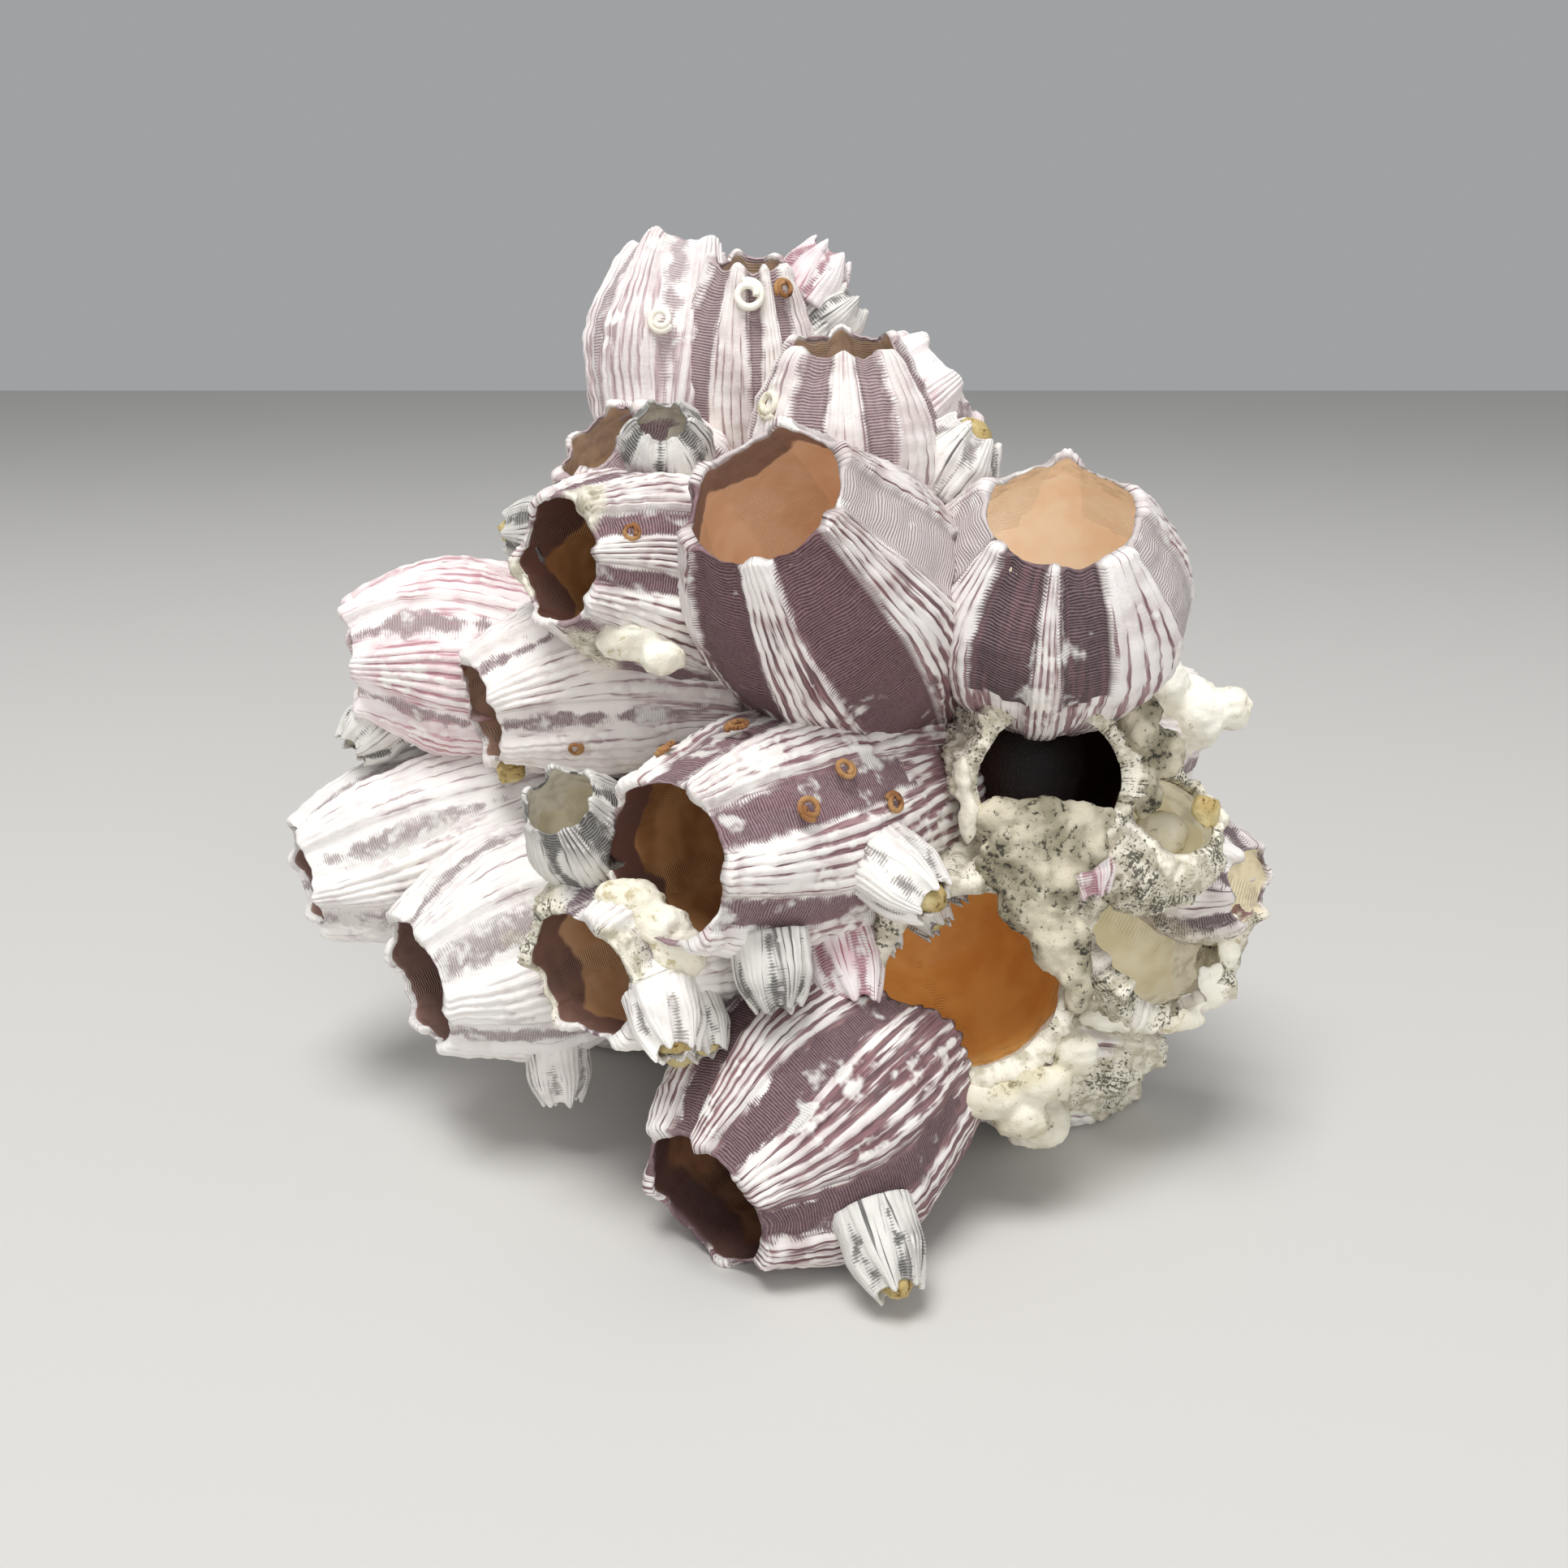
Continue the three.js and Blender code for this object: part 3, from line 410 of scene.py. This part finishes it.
def shell_piece(shell, seed, plate_columns, panel_columns, up_count, ribs):
    """A shell with its plates, ribs, panels, worn lip and smooth hollow."""
    # Columns around: each plate, then the panel after it
    random = np.random.default_rng(seed)
    inside_count = max(8, up_count // 3)
    local = np.linspace(-1, 1, plate_columns)
    local = np.concatenate([local, 1 + np.arange(1, panel_columns + 1) / (panel_columns + 1)])
    plate = np.repeat(np.arange(PLATES), len(local))
    after = (plate + 1) % PLATES
    across = np.tile(local, PLATES)
    crossing = across - 1
    on_plate = across <= 1
    shift = random.uniform(-0.09, 0.09, PLATES)
    wide = random.uniform(0.85, 1.15, PLATES)
    if "turns" in shell:
        shift = np.radians(shell["turns"])
    base_wide = np.array(shell.get("widths", np.ones(PLATES)))
    tip = random.uniform(0.5, 1.25, PLATES)

    # Rows up the outside, over the lip and down the hollow
    outer = 1 - (1 - np.linspace(0, 1, up_count)) ** 1.15
    inner = 1 - np.linspace(0, 1, inside_count + 1)[1:] ** 1.2 * (1 - FLOOR_HEIGHT)
    height = np.concatenate([outer, (1.0, 1.0), inner])[:, None]
    inside = np.concatenate([np.zeros(up_count + 1), np.ones(inside_count + 1)])[:, None]
    lip = np.zeros_like(height)
    lip[up_count] = 0.5

    # Where each column runs, and how far a point lies up the wall and into its panel
    base_share = shell.get("base_share", PLATE_SHARE_BASE)
    mouth_share = shell.get("mouth_share", PLATE_SHARE_MOUTH)
    share = base_wide[plate] * (base_share + (mouth_share * wide[plate] - base_share) * height)
    next_share = base_wide[after] * (base_share + (mouth_share * wide[after] - base_share) * height)
    middle = math.radians(shell.get("roll", 0)) + plate * PLATE_STEP + shift[plate]
    next_middle = math.radians(shell.get("roll", 0)) + (plate + 1) * PLATE_STEP + shift[after]
    panel_start = middle + PLATE_STEP / 2 * share
    panel_end = next_middle - PLATE_STEP / 2 * next_share
    angle = np.where(on_plate, middle + across * PLATE_STEP / 2 * share,
                     panel_start + (panel_end - panel_start) * crossing)
    height = np.broadcast_to(height, angle.shape)
    places = wall_points(shell, angle, height, np.zeros_like(angle))
    steps = np.linalg.norm(np.diff(places[:up_count], axis=0), axis=-1).mean(axis=1)
    climbed = np.concatenate([[0.0], np.cumsum(steps)])
    rise = np.interp(height, outer, climbed)
    size = min(1.0, shell["radii"][1] / 12)
    width = np.where(on_plate, share, 2 - share - next_share) * PLATE_STEP / 2 * wall_radius(shell, height)
    into_panel = np.where(on_plate, np.abs(across) - 1, np.minimum(crossing, 1 - crossing)) * width

    # Relief of the outside: ribs, sunk panels, bumps, growth ledges and crust
    phase = (across + 1) / 2 * ribs + 0.35 * noise(places, 6.0, seed + 1)
    phase = phase + random.uniform(0, 1, PLATES)[plate]
    rib = np.abs(np.sin(math.pi * phase)) ** 0.8
    strength = smooth(-0.7, 0.5, noise(places, 9.0, seed + 2))
    plate_edge = smooth(0.0, 0.13, 1 - np.abs(across))
    panel_from = shell.get("panel_from", 0.0)
    above = smooth(panel_from - 0.06, panel_from + 0.06, height + 0.04 * noise(places, 5.0, seed + 9))
    panel = np.where(on_plate, 1 - plate_edge, 1.0) * above
    sunk = np.where(on_plate, 0.0, smooth(0, 0.12, crossing) * smooth(0, 0.12, 1 - crossing))
    lift = np.where(on_plate, RIDGE * (0.25 + 0.75 * plate_edge) * (1 - 0.25 * across**2), 0.22 * RIDGE)
    lift = size * (lift - sunk * (PANEL_SINK * height + 0.2 * RIDGE))
    lift = lift + np.where(on_plate, size * plate_edge * RIB * (0.35 + 0.65 * strength) * (rib - 0.5), 0)
    lift = lift + size * (0.45 * noise(places, 7.0, seed + 3) + 0.25 * noise(places, 2.6, seed + 4)
                          + 0.12 * noise(places, 1.1, seed + 13))
    ledge = np.sin(rise * 2 * math.pi / 2.3 + 3 * noise(places, 5.0, seed + 5))
    lift = lift + size * 0.07 * np.sign(ledge) * np.abs(ledge) ** 0.6
    crust = shell.get("crust", 0.0)
    grown = smooth(0.75 - crust, 1.15 - crust, 0.5 + 0.5 * noise(places, 8.0, seed + 10))
    rough = np.abs(noise(places, 1.8, seed + 11)) + 0.5 * np.abs(noise(places, 0.9, seed + 12))
    lift = lift + grown * (1.1 * rough - 0.2)

    # The wall's thickness, and the rim with its teeth or its broken edge
    lip_thickness = shell.get("lip", LIP)
    thickness = size * (lip_thickness + (WALL - lip_thickness) * smooth(0, 0.35, 1 - height))
    hollow = -thickness - 0.12 * panel + 0.15 * noise(places, 6.0, seed + 6)
    lift = np.where(inside > 0, hollow, lift * (1 - lip) + lip * (hollow + lift) * 0.5)

    broken = shell.get("broken", 0)
    if broken:
        rim = broken * (noise(places, 4.0, seed + 7) * 1.2 + noise(places, 1.6, seed + 8) * 0.7)
    else:
        tooth = shell.get("tooth", TOOTH) * tip[plate] * (1 - np.abs(across) ** 1.6)
        dip = -0.3 * shell.get("tooth", TOOTH) * np.sin(math.pi * np.clip(crossing, 0, 1))
        chipped = 0.35 * noise(places, 2.0, seed + 7) + 0.25 * noise(places, 0.9, seed + 8)
        rim = np.where(on_plate, tooth, dip) + shell.get("tooth", TOOTH) * chipped
    points = wall_points(shell, angle, height, lift, rim * smooth(0.72, 1.0, height) + 0.35 * lip)
    points[..., 2] = np.maximum(points[..., 2], np.where(inside > 0, LIP, 0.0))

    # What the material needs to know of each point
    attributes = dict(
        into_panel=np.where(above < 0.5, -9.0, into_panel),
        rib=np.where(on_plate, rib, 0.5),
        inside=inside * smooth(0.3, 1.2, climbed[-1] - rise - lip_thickness * (broken > 0)),
        fade=np.where(np.isin(plate, shell.get("faded", ())), 1.0, 0.0),
        rise=rise + seed * 31,
        spread=(across + 2 * plate) * PLATE_STEP / 2 * shell["radii"][1] + seed * 53,
        below_rim=climbed[-1] - rise,
        crust=grown,
    )
    first = middle_line(shell, 0.0)[0]
    last = middle_line(shell, FLOOR_HEIGHT - 0.02)[0]
    return cup(shell["name"].replace("barnacle", "shell"), first, points, last, attributes)


def cutter(shell):
    """The space inside the middle of a shell's wall, which cuts the shells that grew against it."""
    angle, height = np.meshgrid(np.linspace(0, 2 * math.pi, 73)[:-1], np.linspace(0, 1, 24))
    points = wall_points(shell, angle, height, np.full(angle.shape, -CUT_DEPTH))
    return cup("cutter", middle_line(shell, 0.0)[0], points, middle_line(shell, 1.0)[0], {})


def near(piece, tool):
    """Whether the boxes around two objects meet."""
    one, other = (np.array([corner[:] for corner in item.bound_box]) for item in (piece, tool))
    return bool(np.all(one.min(axis=0) < other.max(axis=0)) and np.all(other.min(axis=0) < one.max(axis=0)))


def cut_out(piece, tool):
    """Takes the tool's space out of the piece."""
    bpy.context.view_layer.objects.active = piece
    cut = piece.modifiers.new("cut", "BOOLEAN")
    cut.operation = "DIFFERENCE"
    cut.solver = "MANIFOLD"
    cut.object = tool
    bpy.ops.object.modifier_apply(modifier=cut.name)


def join(host, parts):
    """Makes the parts one piece with their host."""
    bpy.ops.object.select_all(action="DESELECT")
    for part in [host, *parts]:
        part.select_set(True)
    bpy.context.view_layer.objects.active = host
    bpy.ops.object.join()


def paint(piece, material):
    """Gives a piece its one material, in place of any that a cut left."""
    piece.data.materials.clear()
    piece.data.materials.append(material)


def push_out(piece, sizes, seed):
    """Roughens a piece by moving its points out and in. sizes pairs the bumps' widths with their heights."""
    mesh = piece.data
    places = np.empty(len(mesh.vertices) * 3, np.float32)
    out = np.empty(len(mesh.vertices) * 3, np.float32)
    mesh.vertices.foreach_get("co", places)
    mesh.vertices.foreach_get("normal", out)
    places = places.reshape(-1, 3) / MM
    for number, (size, height) in enumerate(sizes):
        places = places + out.reshape(-1, 3) * (height * noise(places, size, seed + number))[:, None]
    mesh.vertices.foreach_set("co", (places * MM).astype(np.float32).ravel())
    mesh.update()


def lump(middle, half, detail):
    """A ball drawn to half sizes along X, Y and Z, at a middle given in the part's own millimetres."""
    bpy.ops.mesh.primitive_ico_sphere_add(subdivisions=detail, radius=1)
    piece = bpy.context.object
    bpy.ops.object.mode_set(mode="EDIT")
    bpy.ops.transform.resize(value=[value * MM for value in half])
    bpy.ops.transform.translate(value=[value * MM for value in middle])
    bpy.ops.object.mode_set(mode="OBJECT")
    bpy.ops.object.shade_smooth()
    return piece


def mass(lumps, seed, uneven):
    """Lumps run together into one mass, uneven by that height in millimetres."""
    balls = [lump(np.array(middle) - ORIGIN, half, 3) for middle, half in lumps]
    piece = balls[0]
    join(piece, balls[1:])
    run_together = piece.modifiers.new("run_together", "REMESH")
    run_together.mode = "VOXEL"
    run_together.voxel_size = VOXEL * MM
    run_together.use_smooth_shade = True
    bpy.ops.object.modifier_apply(modifier=run_together.name)
    soften = piece.modifiers.new("soften", "SMOOTH")
    soften.iterations = 6
    bpy.ops.object.modifier_apply(modifier=soften.name)
    push_out(piece, ((3.5, uneven), (1.6, uneven * 0.7), (0.8, uneven * 0.6)), seed)
    return piece


def worm_tube(tube, turn, material):
    """A tube coiled flat on a wall, its inner turn raised, begun at an angle given by turn."""
    point, out = wall_place(SHELL_BY_NAME["barnacle_" + tube["on"]], tube["around"], tube["up"])
    side = unit(np.cross(out, (0.3, 0.2, 1)))
    share = np.linspace(0, 1, 40)
    angle = turn + share * 2 * math.pi * TUBE_TURNS
    reach = tube["radius"] * (0.55 + 0.45 * share)
    thick = tube["radius"] * TUBE_SHARE
    places = point + out * (0.6 + thick * (1.3 - 0.8 * share))[:, None]
    places = places + side * (reach * np.cos(angle))[:, None]
    places = places + np.cross(out, side) * (reach * np.sin(angle))[:, None]
    curve = bpy.data.curves.new("worm_tube", "CURVE")
    curve.dimensions = "3D"
    curve.bevel_depth = thick * MM
    curve.bevel_resolution = 2
    curve.use_fill_caps = True
    spline = curve.splines.new("POLY")
    spline.points.add(len(places) - 1)
    for spot, place in zip(spline.points, places * MM):
        spot.co = (*place, 1)
    piece = bpy.data.objects.new("worm_tube", curve)
    bpy.context.collection.objects.link(piece)
    bpy.ops.object.select_all(action="DESELECT")
    piece.select_set(True)
    bpy.context.view_layer.objects.active = piece
    bpy.ops.object.convert(target="MESH")
    bpy.ops.object.shade_smooth()
    bpy.ops.object.mode_set(mode="EDIT")
    bpy.ops.mesh.select_all(action="SELECT")
    bpy.ops.mesh.remove_doubles(threshold=0.01 * MM)
    bpy.ops.object.mode_set(mode="OBJECT")
    piece = bpy.context.object
    paint(piece, material)
    return piece


def young_shell(young, number):
    """The sizes of a young barnacle, worked out from its place on the host's wall."""
    host = SHELL_BY_NAME["barnacle_" + young["on"]]
    foot, out = wall_place(host, young["around"], young["up"])
    along = unit(out + np.array(young["leans"]))
    radius = young["radius"]
    return dict(
        name=f"young_{number}",
        base=foot - along * YOUNG_ROOT + ORIGIN,
        mouth=foot + along * young["height"] + ORIGIN,
        faces=along,
        radii=(radius, radius * 0.98, radius * YOUNG_TAPER),
        tooth=0.7,
        base_share=0.85,
    )


def linear(hex_colour):
    """A linear colour from an sRGB hex value."""
    values = [int(hex_colour[i:i + 2], 16) / 255 for i in (1, 3, 5)]
    return [v / 12.92 if v <= 0.04045 else ((v + 0.055) / 1.055) ** 2.4 for v in values] + [1.0]


def add(tree, kind, inputs=(), output=0, **settings):
    """Adds a node with its settings, sets or links its inputs by number or name, and returns one output."""
    node = tree.nodes.new("ShaderNode" + kind)
    for key, value in settings.items():
        setattr(node, key, value)
    for key, value in inputs.items() if isinstance(inputs, dict) else enumerate(inputs):
        if isinstance(value, bpy.types.NodeSocket):
            tree.links.new(value, node.inputs[key])
        else:
            node.inputs[key].default_value = value
    return node.outputs[output] if node.outputs else None


def new_material(name):
    material = bpy.data.materials.new(name)
    material.use_nodes = True
    material.node_tree.nodes.clear()
    return material, material.node_tree


# Settings that many nodes share
SUM = dict(operation="MULTIPLY_ADD")
CLIMB = dict(interpolation_type="SMOOTHSTEP")
COLOURS = dict(output=2, data_type="RGBA")
TO_MM = (1 / MM, 1 / MM, 1 / MM)


def shell_lime(name, look):
    """Barnacle lime grown in layers: dull white plates with wine stripes along them, purple panels with
    close growth lines across them, worn white patches, grey crust, and a smooth warm hollow."""
    material, tree = new_material("shell_lime_" + name)
    place = add(tree, "TexCoord", output="Object")
    place = add(tree, "Mapping", {"Vector": place, "Scale": TO_MM})
    keys = ("into_panel", "rib", "inside", "rise", "spread", "below_rim", "crust", "fade")
    into_panel, rib, inside, rise, spread, below_rim, crust, fade = (
        add(tree, "Attribute", output="Fac", attribute_name=key) for key in keys)
    flow = add(tree, "CombineXYZ", [spread, rise])
    flow = add(tree, "Mapping", {"Vector": flow, "Scale": (1.0, 0.09, 1.0)})

    # Streaks 1.5 and 0.5 mm wide run along the plates, patches of 7, 2 and 0.4 mm lie anywhere
    patterns = ((flow, 1.5), (flow, 0.5), (place, 7.0), (place, 2.0), (place, 0.4))
    broad_streak, fine_streak, patch, blotch, grain = (
        add(tree, "TexNoise", {"Vector": vector, "Scale": 1 / size, "Detail": 2.0, "Roughness": 0.6})
        for vector, size in patterns)

    # Growth lines lie 0.36 mm apart across the panels
    line = add(tree, "Math", [patch, 0.5, rise], **SUM)
    line = add(tree, "Math", [line, 2 * math.pi / 0.36], operation="MULTIPLY")
    line = add(tree, "Math", [line], operation="SINE")
    line = add(tree, "Math", [line, 0.5, 0.5], **SUM)

    # Stripes lie in the grooves between ribs, come and go along them, and gather towards the base
    streak = add(tree, "Math", [below_rim, 0.005, -0.09], **SUM)
    for pattern, weight in ((patch, 0.4), (fine_streak, 0.3), (broad_streak, 0.8), (rib, -0.3)):
        streak = add(tree, "Math", [pattern, weight, streak], **SUM)
    edge = 0.71 - 0.24 * look["stripes"]
    striped = add(tree, "MapRange", [streak, edge, edge + 0.12, 0.0, 0.9], **CLIMB)
    dusty = add(tree, "MapRange", [patch, 0.4, 0.7, 0.0, 0.55], **CLIMB)
    bare = add(tree, "Mix", {0: dusty, 6: linear(look["lime"]), 7: linear(look["wine"][0])}, **COLOURS)
    deeper = add(tree, "MapRange", [fine_streak, 0.4, 0.6], **CLIMB)
    stripe = add(tree, "Mix", {0: deeper, 6: linear(look["wine"][0]), 7: linear(look["wine"][1])}, **COLOURS)
    outside = add(tree, "Mix", {0: striped, 6: bare, 7: stripe}, **COLOURS)

    # Panels are dark between pale growth lines, reddish in streaks, some faded, and eaten into at the edges
    ragged = look.get("ragged", 1.0)
    eaten = add(tree, "Math", [line, 0.5, into_panel], **SUM)
    for pattern, weight in ((patch, 4.0 * ragged), (blotch, 3.5 * ragged)):
        eaten = add(tree, "Math", [pattern, weight, eaten], **SUM)
    edge = 0.05 + 3.75 * ragged + look["bite"]
    panel_here = add(tree, "MapRange", [eaten, edge, edge + 0.6], **CLIMB)
    ruddy = add(tree, "MapRange", [broad_streak, 0.45, 0.65, 0.0, 0.7], **CLIMB)
    panel = add(tree, "Mix", {0: ruddy, 6: linear(look["panel"][0]), 7: linear(look["wine"][1])}, **COLOURS)
    pale_line = add(tree, "Math", [grain, 0.6, -0.22], **SUM)
    pale_line = add(tree, "Math", [line, 0.6, pale_line], **SUM)
    panel = add(tree, "Mix", {0: pale_line, 6: panel, 7: linear(look["panel"][1])}, **COLOURS)
    faded = add(tree, "Math", [fade, 0.75], operation="MULTIPLY")
    panel = add(tree, "Mix", {0: faded, 6: panel, 7: linear("#ddd4d1")}, **COLOURS)
    outside = add(tree, "Mix", {0: panel_here, 6: outside, 7: panel}, **COLOURS)

    # Worn white patches
    worn = add(tree, "Math", [rib, 0.08], operation="MULTIPLY")
    for pattern, weight in ((blotch, 0.3), (patch, 0.6)):
        worn = add(tree, "Math", [pattern, weight, worn], **SUM)
    edge = 0.66 - 0.22 * look["chalk"]
    worn = add(tree, "MapRange", [worn, edge, edge + 0.08, 0.0, 0.85], **CLIMB)
    outside = add(tree, "Mix", {0: worn, 6: outside, 7: linear("#f7f4ee")}, **COLOURS)

    # Crust, cream and grey with dark grime in streaks and specks
    mottled = add(tree, "MapRange", [blotch, 0.4, 0.65], **CLIMB)
    crusty = add(tree, "Mix", {0: mottled, 6: linear("#efe9d9"), 7: linear("#c2bba5")}, **COLOURS)
    grimy = add(tree, "Math", [grain, 0.45], operation="MULTIPLY")
    for pattern, weight in ((fine_streak, 0.35), (patch, 0.5)):
        grimy = add(tree, "Math", [pattern, weight, grimy], **SUM)
    edge = 0.74 - 0.12 * look.get("grime", 0.3)
    grimy = add(tree, "MapRange", [grimy, edge, edge + 0.07, 0.0, 0.9], **CLIMB)
    crusty = add(tree, "Mix", {0: grimy, 6: crusty, 7: linear("#4a473c")}, **COLOURS)
    grown = add(tree, "Math", [grain, 0.5, -0.25], **SUM)
    grown = add(tree, "Math", [crust, 1.0, grown], **SUM)
    grown = add(tree, "MapRange", [grown, 0.3, 0.7], **CLIMB)
    outside = add(tree, "Mix", {0: grown, 6: outside, 7: crusty}, **COLOURS)

    # The hollow, warm and smooth, with a duller sheath near the mouth
    sheath = add(tree, "Math", [patch, 8.0, below_rim], **SUM)
    sheath = add(tree, "Math", [into_panel, -0.6, sheath], **SUM)
    sheath = add(tree, "MapRange", [sheath, 11.5, 10.5], **CLIMB)
    mixed = add(tree, "MapRange", [patch, 0.35, 0.65], **CLIMB)
    deep = add(tree, "Mix", {0: mixed, 6: linear(look["hollow"][0]), 7: linear(look["hollow"][1])}, **COLOURS)
    ruled = add(tree, "MapRange", [blotch, 0.4, 0.7, 0.0, 0.3], **CLIMB)
    near_mouth = add(tree, "Mix", {0: ruled, 6: linear(look["sheath"]), 7: linear("#5d463f")}, **COLOURS)
    hollow = add(tree, "Mix", {0: sheath, 6: deep, 7: near_mouth}, **COLOURS)
    within = add(tree, "MapRange", [inside, 0.4, 0.6], **CLIMB)
    colour = add(tree, "Mix", {0: within, 6: outside, 7: hollow}, **COLOURS)

    relief = add(tree, "Math", [grain, 0.6], operation="MULTIPLY")
    ridged = add(tree, "Math", [within, -0.4, 0.5], **SUM)
    relief = add(tree, "Math", [fine_streak, ridged, relief], **SUM)
    relief = add(tree, "Math", [line, panel_here, relief], **SUM)
    bump = add(tree, "Bump", {"Height": relief, "Strength": 0.7, "Distance": 0.18 * MM})
    roughness = add(tree, "Math", [within, -0.2, 0.72], **SUM)
    # Painted glow: the hollow gives off a little light in its own colour, in place of the light that thin
    # walls let through, so that a hollow is never quite dark
    glow = add(tree, "Math", [within, look["glow"]], operation="MULTIPLY")
    surface = {"Base Color": colour, "Roughness": roughness, "Normal": bump, "Specular IOR Level": 0.35,
               "Emission Color": hollow, "Emission Strength": glow}
    add(tree, "OutputMaterial", [add(tree, "BsdfPrincipled", surface)])
    material.cycles.emission_sampling = "NONE"
    return material


def gritty(name, low, high, dark, size, pit_shade_from=0.42):
    """A crumbly deposit, dull all over, with painted shade in the pits between its grains."""
    material, tree = new_material(name)
    place = add(tree, "TexCoord", output="Object")
    place = add(tree, "Mapping", {"Vector": place, "Scale": TO_MM})
    grain = add(tree, "TexNoise", {"Vector": place, "Scale": 1 / size, "Detail": 4.0, "Roughness": 0.7})
    broad = add(tree, "TexNoise", {"Vector": place, "Scale": 1 / (5 * size), "Detail": 2.0})
    mottled = add(tree, "MapRange", [broad, 0.35, 0.65], **CLIMB)
    colour = add(tree, "Mix", {0: mottled, 6: linear(low), 7: linear(high)}, **COLOURS)
    # Painted shade: the colour darkens where the grains dip, in the low places of the bump below
    pit_shade = add(tree, "Math", [broad, 0.5, grain], **SUM)
    pit_shade = add(tree, "MapRange", [pit_shade, pit_shade_from + 0.25, pit_shade_from + 0.12], **CLIMB)
    colour = add(tree, "Mix", {0: pit_shade, 6: colour, 7: linear(dark)}, **COLOURS)
    bump = add(tree, "Bump", {"Height": grain, "Strength": 0.8, "Distance": 0.3 * MM})
    surface = {"Base Color": colour, "Roughness": 0.85, "Normal": bump}
    add(tree, "OutputMaterial", [add(tree, "BsdfPrincipled", surface)])
    return material


lime = {name: shell_lime(name, look) for name, look in LOOKS.items()}
grit = dict(
    dirt=gritty("ochre_dirt", "#b9a066", "#d8c894", "#6d5528", 0.7),
    chalk=gritty("chalky_lime", "#efe9d6", "#faf7ea", "#c9bd9a", 1.6),
    cream=gritty("cream_lime", "#cfc7ad", "#ebe6d6", "#8a8060", 1.2),
    crust=gritty("grey_crust", "#8f8871", "#d3cbb4", "#38352b", 0.9, 0.46),
    amber=gritty("amber_tube", "#96643a", "#b98d5c", "#4f2d18", 0.6),
)


pieces = {}
tools = {}
for index, shell in enumerate(SHELLS):
    plain = shell["name"].startswith("barnacle_back") or shell["radii"][1] < SMALL_SHELL
    columns = PLAIN_MESH if plain else FULL_MESH
    ribs = FINE_RIBS if shell["look"] in FINE_RIBBED else RIBS
    piece = shell_piece(shell, index + 1, *columns, ribs)
    for tool in tools.values():
        if near(piece, tool):
            cut_out(piece, tool)
    tools[shell["name"].replace("barnacle_", "")] = cutter(shell)
    paint(piece, lime[shell["look"]])
    pieces[shell["name"]] = piece

grown_on = {name: [] for name in pieces}
for number, young in enumerate(YOUNG):
    sizes = young_shell(young, number)
    piece = shell_piece(sizes, 60 + number * 3, *YOUNG_MESH, YOUNG_RIBS)
    if near(piece, tools[young["on"]]):
        cut_out(piece, tools[young["on"]])
    paint(piece, lime[young["look"]])
    grown_on["barnacle_" + young["on"]].append(piece)
    if young.get("plug"):
        mouth = sizes["mouth"] - ORIGIN - sizes["faces"] * PLUG_DEPTH
        radius = young["radius"] * YOUNG_TAPER * PLUG_SHARE
        dirt = lump(mouth, (radius, radius, radius * 0.8), 3)
        push_out(dirt, ((radius, 0.6), (radius / 3, 0.3)), 200 + number * 5)
        paint(dirt, grit["dirt"])
        grown_on["barnacle_" + young["on"]].append(dirt)
for number, item in enumerate(MASSES):
    piece = mass(item["lumps"], 300 + number * 7, UNEVEN[item["of"]])
    if near(piece, tools[item["on"]]):
        cut_out(piece, tools[item["on"]])
    paint(piece, grit[item["of"]])
    grown_on["barnacle_" + item["on"]].append(piece)
for number, tube in enumerate(WORM_TUBES):
    grown_on["barnacle_" + tube["on"]].append(worm_tube(tube, number * 1.9, grit[tube["of"]]))

for tool in tools.values():
    bpy.data.objects.remove(tool)

for name, piece in pieces.items():
    if grown_on[name]:
        join(piece, grown_on[name])
    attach(piece, "root")
    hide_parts(name)

# Floor, light and camera. The floor is matt paper, which takes soft shadows and has no gloss
bpy.ops.mesh.primitive_plane_add(size=4)
floor = bpy.context.object
floor.name = "floor"
paper, paper_tree = new_material("pale_paper")
paper_surface = add(paper_tree, "BsdfPrincipled", {"Base Color": linear("#d2d0cc"), "Roughness": 0.9})
add(paper_tree, "OutputMaterial", [paper_surface])
floor.data.materials.append(paper)

world = bpy.data.worlds.new("studio")
world.use_nodes = True
world.node_tree.nodes["Background"].inputs["Color"].default_value = linear("#e4e6e9")
world.node_tree.nodes["Background"].inputs["Strength"].default_value = 0.45
bpy.context.scene.world = world
bpy.context.scene.view_settings.view_transform = "Standard"


def lamp(name, place, size, power):
    """A soft square lamp that points at the cluster."""
    data = bpy.data.lights.new(name, "AREA")
    data.size = size
    data.energy = power
    item = bpy.data.objects.new(name, data)
    item.location = place
    item.rotation_euler = (Vector((0, 0, 0.05)) - Vector(place)).to_track_quat("-Z", "Y").to_euler()
    bpy.context.collection.objects.link(item)


lamp("overhead", (-0.15, -0.35, 1.1), 0.5, 10.5)
lamp("front_fill", (0.2, -0.9, 0.35), 0.6, 2.8)

# The camera, fitted to the photograph: its place in the part's millimetres and its dip in degrees
SENSOR = 36
FOCAL_PIXELS = 2000
PHOTO_PIXELS = 1932
CAMERA_PLACE = np.array((0, -205, 107))
CAMERA_DIP = 16.4
camera_data = bpy.data.cameras.new("camera")
camera_data.sensor_width = SENSOR
camera_data.lens = SENSOR * FOCAL_PIXELS / PHOTO_PIXELS
camera = bpy.data.objects.new("camera", camera_data)
camera.location = (CAMERA_PLACE - ORIGIN) * MM
camera.rotation_euler = (math.radians(90 - CAMERA_DIP), 0, 0)
bpy.context.collection.objects.link(camera)
bpy.context.scene.camera = camera
